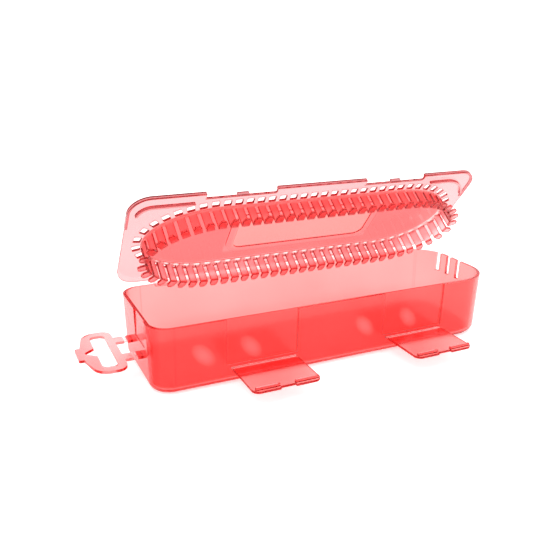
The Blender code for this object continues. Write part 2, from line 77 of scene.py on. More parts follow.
def block(name, low, high):
    """A plain block between two corners, its place in its mesh."""
    bpy.ops.object.select_all(action="DESELECT")
    bpy.ops.mesh.primitive_cube_add(size=1, location=(Vector(low) + Vector(high)) / 2)
    made = bpy.context.object
    made.name = made.data.name = name
    made.scale = Vector(high) - Vector(low)
    bpy.ops.object.transform_apply(location=True, rotation=True, scale=True)
    return made


def pick(piece):
    """Select one piece alone and make it active."""
    bpy.ops.object.select_all(action="DESELECT")
    piece.select_set(True)
    bpy.context.view_layer.objects.active = piece


def reshape(piece, kind, wanted, operator, **settings):
    """Select the edges or faces that pass a test, in edit mode, and run one operator on them."""
    pick(piece)
    bpy.ops.object.mode_set(mode="EDIT")
    bpy.ops.mesh.select_mode(type=kind)
    bpy.ops.mesh.select_all(action="DESELECT")
    mesh = bmesh.from_edit_mesh(piece.data)
    for part in (mesh.edges if kind == "EDGE" else mesh.faces):
        if wanted(part):
            part.select_set(True)
    bmesh.update_edit_mesh(piece.data)
    operator(**settings)
    bpy.ops.object.mode_set(mode="OBJECT")


def apply_modifier(piece, kind, **settings):
    """Add one modifier and apply it at once."""
    step = piece.modifiers.new(kind.lower(), kind)
    for key, value in settings.items():
        setattr(step, key, value)
    bpy.context.view_layer.objects.active = piece
    bpy.ops.object.modifier_apply(modifier=step.name)


def combine(piece, tool, operation):
    """Join a tool to a piece, or cut it out, and throw the tool away."""
    apply_modifier(piece, "BOOLEAN", operation=operation, solver="EXACT", object=tool)
    bpy.data.objects.remove(tool, do_unlink=True)


def upright(edge):
    """A test for the edges that run straight up."""
    run = edge.verts[1].co - edge.verts[0].co
    return abs(run.z) > 0.99 * run.length


def facing(x, y, z):
    """A test for the faces that look one way."""
    return lambda face: face.normal.dot(Vector((x, y, z))) > 0.99


def anything(part):
    """A test that every edge and face passes."""
    return True


def round_corners(piece, radius, segments, wanted=upright):
    reshape(piece, "EDGE", wanted, bpy.ops.mesh.bevel, offset=radius, segments=segments, affect="EDGES")


def round_edges(piece, width, segments):
    """Round every sharp edge, and mark the rounding for the piece's second material, its painted dark
    outline.
    """
    apply_modifier(piece, "BEVEL", width=width, segments=segments, limit_method="ANGLE",
                   angle_limit=math.radians(32), material=1)


def soften(piece, width, segments=2):
    """Round every sharp edge as a mould does, and shade the piece smoothly."""
    while len(piece.data.materials) < 2:
        piece.data.materials.append(None)
    round_edges(piece, width, segments)
    pick(piece)
    bpy.ops.object.shade_smooth_by_angle(angle=math.radians(50))
    apply_modifier(piece, "WEIGHTED_NORMAL", keep_sharp=True)


def coat(piece, plastic, outline_shade):
    """Give a piece its plastic and, on the rounding of its edges, a darker plastic: painted shade, the dark
    outline a clear edge shows end on.
    """
    piece.data.materials[0] = plastic
    piece.data.materials[1] = outline_shade


tray = block("tray_shell", (-HALF_LENGTH, -HALF_WIDTH, 0), (HALF_LENGTH, HALF_WIDTH, RIM_Z))
reshape(tray, "FACE", facing(0, 0, -1), bpy.ops.transform.resize, center_override=(0, 0, 0),
        value=(1 - DRAFT * RIM_Z / HALF_LENGTH, 1 - DRAFT * RIM_Z / HALF_WIDTH, 1))
for side, radius in TRAY_CORNERS.items():
    round_corners(tray, radius, 14, lambda edge: abs(edge.verts[0].co.z - edge.verts[1].co.z) > RIM_Z / 2
                  and edge.verts[0].co.x * side > 0.97 * HALF_LENGTH)
round_corners(tray, TRAY_FOOT, 7, lambda edge: max(edge.verts[0].co.z, edge.verts[1].co.z) < 0.1 * MM)
reshape(tray, "FACE", facing(0, 0, 1), bpy.ops.mesh.delete, type="FACE")
apply_modifier(tray, "SOLIDIFY", thickness=WALL, offset=-1, use_even_offset=True)

# rail behind the back wall, in two steps
RAIL_HALF = 68.0 * MM
rail_face = pivots["lid_hinge"].y + 0.3 * MM
ledge_top = RIM_Z - 0.3 * MM
combine(tray, block("ledge", (-RAIL_HALF, HALF_WIDTH - WALL / 2, ledge_top - 1.4 * MM),
                    (RAIL_HALF, tray_high.y, ledge_top)), "UNION")
combine(tray, block("upstand", (-RAIL_HALF, rail_face, ledge_top - 1.0 * MM),
                    (RAIL_HALF, tray_high.y, tray_high.z)), "UNION")

# pockets, latch lugs and hang tab stubs
POCKET_DEPTH = 0.8 * MM
POCKET_SHIFT = -0.2 * MM
latch_middles = [pivots["latch_left_hinge"].x, pivots["latch_right_hinge"].x]
latch_low, latch_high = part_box("latch_left")
LATCH_HALF = (latch_high.x - latch_low.x) / 2
POCKET_HALF = LATCH_HALF + 1.4 * MM
latch_pivot = pivots["latch_left_hinge"]
for middle in latch_middles:
    pocket_middle = middle + POCKET_SHIFT
    pocket = block("pocket", (pocket_middle - POCKET_HALF, -HALF_WIDTH - SPARE, latch_pivot.z + 1.0 * MM),
                   (pocket_middle + POCKET_HALF, POCKET_DEPTH - HALF_WIDTH, RIM_Z + SPARE))
    reshape(pocket, "FACE", facing(0, 0, -1), bpy.ops.transform.translate,
            value=(0, DRAFT * (RIM_Z - latch_pivot.z), 0))
    combine(tray, pocket, "DIFFERENCE")
    combine(tray, block("lug", (middle - LATCH_HALF, latch_high.y + 1.6 * MM, latch_pivot.z - 0.5 * MM),
                        (middle + LATCH_HALF, WALL / 2 - HALF_WIDTH, latch_pivot.z + 0.5 * MM)), "UNION")
tab_low, tab_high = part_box("hang_tab")
tab_pivot = pivots["hang_tab_hinge"]
arm_boxes = [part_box(f"hang_tab_hinge_web_{side}") for side in ("front", "back")]
for arm_low, arm_high in arm_boxes:
    combine(tray, block("stub", (tray_low.x, arm_low.y, tab_low.z),
                        (1.2 * MM - HALF_LENGTH, arm_high.y, tab_high.z)), "UNION")

# vent slots in the far end wall and the shallow panel in the near one
VENT_HALF = 1.4 * MM
VENT_DEPTH = 9.6 * MM
for middle in (-1.1 * MM, 6.5 * MM, 14.1 * MM):
    combine(tray, block("slot", (HALF_LENGTH - WALL - 2 * SPARE, middle - VENT_HALF, RIM_Z - VENT_DEPTH),
                        (HALF_LENGTH + SPARE, middle + VENT_HALF, RIM_Z + SPARE)), "DIFFERENCE")
combine(tray, block("end_panel", (-HALF_LENGTH - SPARE, -14.5 * MM, RIM_Z - 12 * MM),
                    (0.54 * MM - HALF_LENGTH, 0.5 * MM, RIM_Z + SPARE)), "DIFFERENCE")
soften(tray, 0.28 * MM)


class Wire:
    """A number in a finish: sums and products on it add Math nodes."""

    def __init__(self, finish, socket):
        self.finish = finish
        self.socket = socket

    def __add__(self, other):
        return self.finish.maths("ADD", self, other)

    def __sub__(self, other):
        return self.finish.maths("SUBTRACT", self, other)

    def __rsub__(self, other):
        return self.finish.maths("SUBTRACT", other, self)

    def __mul__(self, other):
        return self.finish.maths("MULTIPLY", self, other)

    def __truediv__(self, other):
        return self.finish.maths("DIVIDE", self, other)

    def __abs__(self):
        return self.finish.maths("ABSOLUTE", self)

    __radd__ = __add__
    __rmul__ = __mul__

    def above(self, level, blur):
        """1 where the number is above a level, 0 below it, with a soft step between."""
        return self.finish.maths("MULTIPLY_ADD", self, 1 / blur, 0.5 - level / blur, clamp=True)

    def near(self, level, width, blur):
        """1 within half a width of a level."""
        return 1 - abs(self - level).above(width / 2, blur)


class Finish:
    """A clear plastic that reddens light a little in its depth and mostly at its surface."""

    def __init__(self, name, roughness, density):
        self.material = bpy.data.materials.new(name)
        self.material.use_nodes = True
        self.tree = self.material.node_tree
        self.shader = self.tree.nodes["Principled BSDF"]
        self.shader.inputs["Roughness"].default_value = roughness
        self.shader.inputs["IOR"].default_value = 1.3
        self.shader.inputs["Specular IOR Level"].default_value = 0.4
        self.shader.inputs["Transmission Weight"].default_value = 1.0
        depth = self.node("ShaderNodeVolumeAbsorption", {},
                          {"Color": (1.0, 0.02, 0.0, 1.0), "Density": density})
        self.feed(self.tree.nodes["Material Output"].inputs["Volume"], depth.outputs[0])
        self.place = self.node("ShaderNodeTexCoord", {}, {}).outputs["Object"]

    def node(self, kind, settings, sockets):
        """Add a node, set it up, and give each of its sockets a value or a link."""
        made = self.tree.nodes.new(kind)
        for key, value in settings.items():
            setattr(made, key, value)
        for key, value in sockets.items():
            self.feed(made.inputs[key], value)
        return made

    def feed(self, socket, value):
        """Link a socket to a wire or to another socket, or give it a plain value."""
        if isinstance(value, Wire):
            value = value.socket
        if isinstance(value, bpy.types.NodeSocket):
            self.tree.links.new(value, socket)
        else:
            socket.default_value = value

    def maths(self, operation, *values, clamp=False):
        """A Math node's result."""
        made = self.node("ShaderNodeMath", {"operation": operation, "use_clamp": clamp},
                         dict(enumerate(values)))
        return Wire(self, made.outputs[0])

    def axes(self, place):
        """The three numbers of a place."""
        parts = self.node("ShaderNodeSeparateXYZ", {}, {0: place})
        return [Wire(self, socket) for socket in parts.outputs]

    def noise(self, scale, detail=2.0):
        """Cloudy noise from 0 to 1, with so many clouds to the metre."""
        made = self.node("ShaderNodeTexNoise", {}, {"Vector": self.place, "Scale": scale, "Detail": detail})
        return Wire(self, made.outputs[0])

    def mix(self, share, first, second):
        """A colour between two."""
        made = self.node("ShaderNodeMix", {"data_type": "RGBA"}, {0: share, 6: first, 7: second})
        return made.outputs[2]

    def colour(self, value):
        self.feed(self.shader.inputs["Base Color"], value)

    def surface(self, roughness, waves, depth):
        """Roughness that changes from place to place, and a fine waviness of some depth."""
        self.feed(self.shader.inputs["Roughness"], roughness)
        bump = self.node("ShaderNodeBump", {}, {"Strength": 1.0, "Distance": depth, "Height": waves})
        self.feed(self.shader.inputs["Normal"], bump.outputs[0])


DEPTH = 800    # absorption to the metre of the deepest red; each finish takes a share of it
# Painted highlights: four slanting pale ovals on the front wall, painted white into its colour where light
# shines through it.
GLINT_OVALS = (-63.6 * MM, -42.6 * MM, 12.6 * MM, 36.3 * MM)
GLINT_HEIGHT = 15.2 * MM
GLINT_LONG = 7.0 * MM
GLINT_WIDE = 3.8 * MM


def tray_finish():
    """Frosted red with cloudy mould flow, and slanting white ovals along the front wall: painted highlights,
    light shining through the frosted wall.
    """
    finish = Finish("frosted_red", 0.16, 0.15 * DEPTH)
    x, y, z = finish.axes(finish.place)
    cloud = finish.noise(28.0, 3.0)
    # painted highlights: one soft oval for each middle in the list
    painted_glints = 0.0
    for middle in GLINT_OVALS:
        up = z - GLINT_HEIGHT
        long = ((x - middle) * 0.66 - up * 0.75) / GLINT_LONG
        wide = ((x - middle) * 0.75 + up * 0.66) / GLINT_WIDE
        painted_glints = finish.maths("MAXIMUM", 1 - (long * long + wide * wide), 0.0) + painted_glints
    front = 1 - y.above(-20 * MM, 2 * MM)
    flow = abs(x).near(75.5 * MM, 0.5 * MM, 0.4 * MM)
    base = finish.mix(cloud.above(0.5, 0.5), (1.0, 0.38, 0.37, 1), (1.0, 0.33, 0.32, 1))
    base = finish.mix(flow * 0.35, base, (0.8, 0.15, 0.15, 1))
    base = finish.mix((0 - x).above(HALF_LENGTH - 3.0 * MM, 2.5 * MM), base, (1.0, 0.16, 0.16, 1))
    base = finish.mix(y.above(HALF_WIDTH + 0.3 * MM, 0.2 * MM), base, (1.0, 0.86, 0.86, 1))
    # the ovals mix white into the front wall's colour: painted highlights
    finish.colour(finish.mix(painted_glints * front, base, (1.0, 1.0, 1.0, 1)))
    finish.surface(0.12 + cloud * 0.10, finish.noise(160.0), 0.05 * MM)
    return finish.material


def painted_outline_finish(name, deep, light, density, paler=None):
    """The rounding of an edge, painted darker: painted shade for the dark outline that light bending through
    a clear edge draws; paler where it is thin.
    """
    finish = Finish(name, 0.2, density)
    cloud = finish.noise(90.0)
    tone = finish.mix(cloud, deep, light)
    if paler:
        tone = finish.mix(paler(finish), tone, (1.0, 0.80, 0.80, 1))
    finish.colour(tone)
    finish.surface(0.15 + cloud * 0.15, finish.noise(400.0), 0.02 * MM)
    return finish.material


def on_the_rail(finish):
    """1 behind the tray's back wall, where the rail is."""
    return finish.axes(finish.place)[1].above(HALF_WIDTH + 0.1 * MM, 0.1 * MM)


# The tray's rounded edges take a painted dark outline: painted shade.
coat(tray, tray_finish(),
     painted_outline_finish("red_edge", (0.45, 0.17, 0.17, 1), (0.62, 0.27, 0.27, 1), 0.15 * DEPTH, on_the_rail))
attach(tray, "tray")
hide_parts("base_tray")

# ------------------------------------------------------------------ lid plate
# A thin glossy plate, drawn closed round its hinge axis and then swung open. Its margin is painted nearly
# clear and the field inside the finger ring a deeper red, and a raised band frames the label panel. The
# front has a rim, broken by two bays for the latches, and a square window stands over every finger's foot.
OPEN_ANGLE = math.radians(51.9)
hinge = pivots["lid_hinge"]
LID_INNER = -1.5 * MM
LID_OUTER = -0.3 * MM
LID_CORE = (LID_INNER + LID_OUTER) / 2
LID_HALF = HALF_LENGTH + 0.8 * MM
LID_FRONT = -HALF_WIDTH - 1.8 * MM - hinge.y
LID_CORNER = 9.5 * MM
RIM_TOP = LID_OUTER + 0.6 * MM
RIM_WALL = 1.2 * MM
RING_Y = 0.6 * MM - hinge.y


def rounded_block(name, low, high, radius, segments=12):
    """A block with its four upright edges rounded."""
    made = block(name, low, high)
    round_corners(made, radius, segments)
    return made


def swing_open(piece):
    """Turn a piece drawn with the lid closed, from its hinge axis, to where the lid stands."""
    pick(piece)
    piece.location = hinge
    piece.rotation_euler.x = -OPEN_ANGLE
    bpy.ops.object.transform_apply(location=True, rotation=True, scale=True)


lid = rounded_block("lid_plate", (-LID_HALF, LID_FRONT, LID_INNER), (LID_HALF, 0, LID_OUTER), LID_CORNER)
rim = rounded_block("rim", (-LID_HALF, LID_FRONT, LID_CORE), (LID_HALF, 0, RIM_TOP), LID_CORNER)
core = rounded_block("core", (RIM_WALL - LID_HALF, LID_FRONT + RIM_WALL, LID_INNER),
                     (LID_HALF - RIM_WALL, -RIM_WALL, RIM_TOP + SPARE), LID_CORNER - RIM_WALL)
combine(rim, core, "DIFFERENCE")
combine(rim, block("behind", (-LID_HALF - SPARE, LID_FRONT + 2 * LID_CORNER, LID_INNER),
                   (LID_HALF + SPARE, SPARE, RIM_TOP + SPARE)), "DIFFERENCE")
combine(lid, rim, "UNION")

LABEL_HALF = Vector((38.0 * MM, 13.8 * MM))
LABEL_BAND = 3.4 * MM
LABEL_CORNER = 8.0 * MM
label = rounded_block("label", (-LABEL_HALF.x, RING_Y - LABEL_HALF.y, LID_INNER - 0.5 * MM),
                      (LABEL_HALF.x, RING_Y + LABEL_HALF.y, LID_CORE), LABEL_CORNER)
inside = LABEL_HALF - Vector((LABEL_BAND, LABEL_BAND))
panel = rounded_block("panel", (-inside.x, RING_Y - inside.y, LID_INNER - SPARE),
                      (inside.x, RING_Y + inside.y, LID_OUTER + SPARE), LABEL_CORNER - LABEL_BAND)
combine(label, panel, "DIFFERENCE")
combine(lid, label, "UNION")

BAY_HALF = LATCH_HALF + 1.0 * MM
BAY_SHIFT = 0.7 * MM
CATCH_HALF = 2.6 * MM
bay_back = LID_FRONT + 2.3 * MM
for middle in latch_middles:
    bay_middle = middle - BAY_SHIFT
    combine(lid, block("bay", (bay_middle - BAY_HALF, LID_FRONT - SPARE, LID_INNER - SPARE),
                       (bay_middle + BAY_HALF, bay_back, RIM_TOP + SPARE)), "DIFFERENCE")
    combine(lid, block("seat", (bay_middle - BAY_HALF, LID_FRONT - SPARE, LID_OUTER - 0.4 * MM),
                       (bay_middle + BAY_HALF, bay_back + 1.2 * MM, RIM_TOP + SPARE)), "DIFFERENCE")
    combine(lid, block("catch", (middle - CATCH_HALF, bay_back, LID_CORE),
                       (middle + CATCH_HALF, bay_back + 0.9 * MM, LID_OUTER + 0.9 * MM)), "UNION")

# curved ribs under the front corners, just inside the tray's own corners
RIB_WALL = 0.9 * MM
RIB_GAP = 0.5 * MM
RIB_SWEEP = math.radians(75)
RIB_START = 58.5 * MM
RIB_LOW = LID_INNER - 1.5 * MM
rib_x = HALF_LENGTH - WALL - RIB_GAP
rib_y = WALL + RIB_GAP - HALF_WIDTH - hinge.y
for side, tray_radius in TRAY_CORNERS.items():
    radius = tray_radius - WALL - RIB_GAP
    rounds = []
    for name, inset in (("rib", 0.0), ("core", RIB_WALL)):
        ends = sorted((side * (RIB_START - inset), side * (rib_x - inset)))
        made = block(name, (ends[0], rib_y + inset, RIB_LOW - inset),
                     (ends[1], rib_y + 20 * MM, LID_CORE + inset))
        round_corners(made, radius - inset, 12, lambda edge: upright(edge)
                      and abs(edge.verts[0].co.x) > RIB_START + MM and edge.verts[0].co.y < rib_y + 2 * MM)
        rounds.append(made)
    combine(rounds[0], rounds[1], "DIFFERENCE")
    sweep = radius * (1 - math.cos(RIB_SWEEP))
    combine(rounds[0], block("behind", (-HALF_LENGTH, rib_y + sweep, RIB_LOW - SPARE),
                             (HALF_LENGTH, HALF_WIDTH, SPARE)), "DIFFERENCE")
    combine(lid, rounds[0], "UNION")

# places round the finger ring: a stadium with long elliptical ends, far enough in for the feet
RING_ROOM = WALL + 3.6 * MM + 0.5 * MM
RING_HALF = Vector((HALF_LENGTH - RING_ROOM - 1.9 * MM, HALF_WIDTH - RING_ROOM - 1.15 * MM))
RING_END = 32.5 * MM
RING_STRAIGHT = RING_HALF.x - RING_END
FINGER_COUNT = 68


def ring_places():
    """Slit middles and finger middles in turn, each as a turning matrix: X along the ring, Y outwards."""
    line = []
    for turn in range(4):
        side = 1 if turn in (0, 3) else -1
        for step in range(91):
            angle = math.radians(90 * turn + step)
            line.append(Vector((side * RING_STRAIGHT + RING_END * math.cos(angle),
                                RING_HALF.y * math.sin(angle))))
    lengths = [0.0]
    for here, after in zip(line, line[1:] + line[:1]):
        lengths.append(lengths[-1] + (after - here).length)
    start = lengths[90] + RING_STRAIGHT
    places = []
    for step in range(2 * FINGER_COUNT):
        want = (start + lengths[-1] * step / (2 * FINGER_COUNT)) % lengths[-1]
        i = max(j for j in range(len(line)) if lengths[j] <= want)
        along = (line[(i + 1) % len(line)] - line[i]).normalized()
        middle = line[i] + along * (want - lengths[i])
        turn = math.atan2(along.y, along.x) + math.pi
        places.append(Matrix.Translation((middle.x, middle.y + RING_Y, 0)) @ Matrix.Rotation(turn, 4, "Z"))
    return places, lengths[-1] / FINGER_COUNT


def copy_round(first, name):
    """Copy a piece to each finger's place, join the copies into one mesh and throw the first away."""
    copies = []
    for place in ring_places()[0][1::2]:
        made = first.copy()
        made.data = first.data.copy()
        made.data.transform(place)
        bpy.context.scene.collection.objects.link(made)
        copies.append(made)
    bpy.data.objects.remove(first, do_unlink=True)
    bpy.ops.object.select_all(action="DESELECT")
    for made in copies:
        made.select_set(True)
    bpy.context.view_layer.objects.active = copies[0]
    bpy.ops.object.join()
    copies[0].name = copies[0].data.name = name
    return copies[0]


WINDOW_HALF = 1.7 * MM
window = block("window", (-WINDOW_HALF, 0.7 * MM, LID_INNER - SPARE),
               (WINDOW_HALF, 4.1 * MM, LID_OUTER + SPARE))
round_corners(window, 0.3 * MM, 2)
combine(lid, copy_round(window, "windows"), "DIFFERENCE")
soften(lid, 0.28 * MM)
swing_open(lid)


def lid_place(finish):
    """A finish's place on the closed lid: X along it, Y from hinge to front, Z through the plate."""
    moved = finish.node("ShaderNodeVectorMath", {"operation": "SUBTRACT"}, {0: finish.place, 1: hinge})
    turned = finish.node("ShaderNodeMapping", {"vector_type": "POINT"},
                         {"Vector": moved.outputs[0], "Rotation": (OPEN_ANGLE, 0, 0)})
    return turned.outputs[0]


def lid_finish():
    """Glossy plate: nearly clear margin, deeper field inside the ring, paler label panel, dark outlines.

    An outline is painted shade, a darker colour on each face that stands across the plate, seen end on: the
    rim, the bays, the windows.
    """
    finish = Finish("glossy_rose", 0.07, 0.2 * DEPTH)
    x, y, z = finish.axes(lid_place(finish))
    end = finish.maths("MAXIMUM", abs(x) - RING_STRAIGHT, 0.0) / RING_END
    side = (y - RING_Y) / RING_HALF.y
    field = 1 - (end * end + side * side).above(1.0, 0.04)
    panel_x = (inside.x - abs(x)).above(0.0, 0.6 * MM)
    panel_y = (inside.y - abs(y - RING_Y)).above(0.0, 0.6 * MM)
    cloud = finish.noise(35.0, 3.0)
    margin = finish.mix(cloud, (0.90, 0.57, 0.58, 1), (0.90, 0.49, 0.50, 1))
    deep = finish.mix(cloud, (1.0, 0.22, 0.22, 1), (1.0, 0.17, 0.17, 1))
    pale = finish.mix(cloud, (1.0, 0.36, 0.34, 1), (1.0, 0.31, 0.29, 1))
    band_x = (LABEL_HALF.x - abs(x)).above(0.0, 0.6 * MM)
    band_y = (LABEL_HALF.y - abs(y - RING_Y)).above(0.0, 0.6 * MM)
    deep = finish.mix(band_x * band_y, deep, (1.0, 0.27, 0.27, 1))
    # painted shade: the rim's top is painted dark as an outline
    rim = z.above(LID_OUTER + 0.15 * MM, 0.1 * MM)
    margin = finish.mix(rim, margin, (0.34, 0.10, 0.11, 1))
    plate = finish.mix(panel_x * panel_y, finish.mix(field, margin, deep), pale)
    # painted shade: faces that stand across the plate take a dark outline colour
    normal = finish.axes(finish.node("ShaderNodeTexCoord", {}, {}).outputs["Normal"])
    flat = abs(normal[1] * math.sin(OPEN_ANGLE) + normal[2] * math.cos(OPEN_ANGLE))
    finish.colour(finish.mix(flat.above(0.6, 0.3), (0.50, 0.20, 0.21, 1), plate))
    finish.surface(0.05 + cloud * 0.08, finish.noise(120.0, 2.0), 0.03 * MM)
    return finish.material


def round_the_label(finish):
    """0.6 over and beside the label frame, where its edges are thin and so paler."""
    x, y, z = finish.axes(lid_place(finish))
    return abs(x).near(0.0, 80 * MM, 0.5 * MM) * y.near(RING_Y, 30 * MM, 0.5 * MM) * 0.6


# The lid's rounded edges take a painted dark outline: painted shade.
coat(lid, lid_finish(),
     painted_outline_finish("rose_edge", (0.30, 0.09, 0.09, 1), (0.46, 0.15, 0.15, 1), 0.2 * DEPTH, round_the_label))
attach(lid, "lid")
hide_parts("lid")

# ------------------------------------------------------------------ ring of spring fingers
# Sixty-eight L-shaped fingers hang from a root band under the lid, with their feet turned outwards. They are
# moulded with the lid, satin on their faces, with painted shade as dark outlines at their edges, and centre
# it as it closes.
ROOT_TOP = LID_INNER - 0.05 * MM
BAND_LOW = LID_INNER - 1.4 * MM
FOOT_LOW = LID_INNER - 10.8 * MM
FOOT_TOP = FOOT_LOW + 1.1 * MM
FOOT_REACH = 3.6 * MM
FINGER_WALL = 1.0 * MM
FINGER_GAP = 1.6 * MM
places, pitch = ring_places()
finger_half = (pitch - FINGER_GAP) / 2


def finger_finish():
    """Satin rose; the root band is painted pale, painted light for the white of the windows seen through it,
    and the front of the ring is painted deeper red, painted shade on fingers all of one plastic.
    """
    finish = Finish("finger_rose", 0.06, 0.15 * DEPTH)
    x, y, z = finish.axes(lid_place(finish))
    cloud = finish.noise(60.0, 2.0)
    # painted shade: the fingers along the front of the ring are painted deeper red
    front = (RING_Y - y).above(6 * MM, 10 * MM)
    pale = finish.mix(cloud, (1.0, 0.66, 0.67, 1), (1.0, 0.54, 0.55, 1))
    deep = finish.mix(cloud, (1.0, 0.58, 0.58, 1), (1.0, 0.48, 0.48, 1))
    # painted light: the root band is painted pale for the white of the windows seen through it
    root = z.above(BAND_LOW, 0.6 * MM)
    finish.colour(finish.mix(root, finish.mix(front, pale, deep), (1.0, 0.84, 0.82, 1)))
    finish.surface(0.30 + cloud * 0.12, finish.noise(200.0, 1.0), 0.02 * MM)
    return finish.material


finger_plastic = finger_finish()
# The fingers' rounded edges take a painted dark outline: painted shade.
finger_edge = painted_outline_finish("finger_edge", (0.44, 0.19, 0.19, 1), (0.60, 0.30, 0.30, 1), 0.15 * DEPTH)
finger = block("finger", (-finger_half, -FINGER_WALL / 2, FOOT_LOW),
               (finger_half, FINGER_WALL / 2, BAND_LOW + 0.5 * MM))
reshape(finger, "FACE", anything, bpy.ops.mesh.bisect, plane_co=(0, 0, FOOT_TOP), plane_no=(0, 0, 1))


def foot_face(face):
    """A test for the face that a foot grows from."""
    return face.normal.y > 0.99 and face.calc_center_median().z < FOOT_TOP


for step, share in ((0.6 * FOOT_REACH, 1.0), (0.4 * FOOT_REACH, 0.55)):
    reshape(finger, "FACE", foot_face, bpy.ops.mesh.extrude_region_move,
            TRANSFORM_OT_translate={"value": (0, step, 0)})
    reshape(finger, "FACE", foot_face, bpy.ops.transform.resize, value=(share, 1, 1),
            center_override=(0, 0, 0))
for plastic in (finger_plastic, finger_edge):
    finger.data.materials.append(plastic)
round_edges(finger, 0.18 * MM, 1)
# painted shade: each finger's side faces, seen end on, take the dark outline plastic
for face in finger.data.polygons:
    if abs(face.normal.x) > 0.9:
        face.material_index = 1
fingers = copy_round(finger, "fingers")

bpy.ops.object.select_all(action="DESELECT")
bpy.ops.mesh.primitive_circle_add(vertices=len(places), radius=RING_HALF.x)
ring = bpy.context.object
ring.name = ring.data.name = "finger_ring"
for vertex, place in zip(ring.data.vertices, places):
    vertex.co = place.translation + Vector((0, 0, ROOT_TOP))
reshape(ring, "EDGE", anything, bpy.ops.mesh.extrude_region_move,
        TRANSFORM_OT_translate={"value": (0, 0, BAND_LOW - ROOT_TOP)})
apply_modifier(ring, "SOLIDIFY", thickness=FINGER_WALL, offset=0, use_even_offset=True)
reshape(ring, "FACE", anything, bpy.ops.mesh.normals_make_consistent, inside=False)
for plastic in (finger_plastic, finger_edge):
    ring.data.materials.append(plastic)
combine(ring, fingers, "UNION")
swing_open(ring)
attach(ring, "lid")
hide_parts("finger_collar")

# ------------------------------------------------------------------ lid hinge webs
# Three thin living-hinge strips, whitened by bending, run from the rail's top over onto the lid's outer
# face. They are part of the same moulding.
WEB = 0.35 * MM
WEB_HALF = 0.7 * MM
WEB_LINES = (-0.35 * MM, 0, 0.35 * MM)


def web_finish():
    """Thin rose plastic, cloudy white as a living hinge becomes from bending."""
    finish = Finish("web_rose", 0.25, 0.15 * DEPTH)
    finish.colour(finish.mix(finish.noise(400.0, 2.0), (1.0, 0.90, 0.90, 1), (1.0, 0.80, 0.80, 1)))
    finish.surface(0.2 + finish.noise(300.0) * 0.15, finish.noise(900.0, 1.0), 0.02 * MM)
    return finish.material


web_plastic = web_finish()
along = Vector((0, -math.cos(OPEN_ANGLE), math.sin(OPEN_ANGLE)))
away = Vector((0, math.sin(OPEN_ANGLE), math.cos(OPEN_ANGLE)))
lift = away * (LID_OUTER + 0.06 * MM + WEB / 2)
for side in ("left", "middle", "right"):
    web_low, web_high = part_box(f"lid_hinge_web_{side}")
    foot = Vector((0, rail_face + WEB / 2, tray_high.z + 0.06 * MM))
    strip = block(f"lid_web_{side}", (web_low.x, foot.y - WEB / 2, foot.z - WEB / 2),
                  (web_high.x, foot.y + WEB / 2, foot.z))
    reshape(strip, "FACE", facing(0, 0, 1), bpy.ops.mesh.extrude_region_move,
            TRANSFORM_OT_translate={"value": (0, 0, WEB)})
    bend = foot + Vector((0, 0, WEB))
    for point in (hinge + along * 0.5 * MM + lift, hinge + along * 2.4 * MM + lift):
        reshape(strip, "FACE", lambda face: (face.calc_center_median() - bend).yz.length < 0.02 * MM,
                bpy.ops.mesh.extrude_region_move, TRANSFORM_OT_translate={"value": (0, *(point - bend).yz)})
        bend = point
    strip.data.materials.append(web_plastic)
    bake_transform(strip)
    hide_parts(f"lid_hinge_web_{side}")

# ------------------------------------------------------------------ latches and their webs
# Two glossy flap latches hang from the pockets' lugs by thin webs, and stand folded out. Two snap beads near
# the free edge hold the edge of the lid's bay, and the notch between them takes its catch.
LATCH_TOP = 0.5 * MM
BEAD_LENGTH = 10.5 * MM
BEAD_START = 1.1 * MM    # in from the free edge: too far in to clear the bay's edge when the lid is latched
BEAD_WIDTH = 1.0 * MM
NOTCH_HALF = 3.3 * MM
latch_free = latch_low.y


def latch_finish():
    """Glossy red, a little paler along the hinge."""
    finish = Finish("glossy_red", 0.10, 0.2 * DEPTH)
    x, y, z = finish.axes(finish.place)
    cloud = finish.noise(45.0, 3.0)
    root = y.above(latch_pivot.y - 2.0 * MM, 2.0 * MM)
    deep = finish.mix(cloud, (1.0, 0.47, 0.46, 1), (1.0, 0.40, 0.39, 1))
    finish.colour(finish.mix(root, deep, (1.0, 0.50, 0.49, 1)))
    finish.surface(0.07 + cloud * 0.08, finish.noise(150.0), 0.04 * MM)
    return finish.material


latch_plastic = latch_finish()
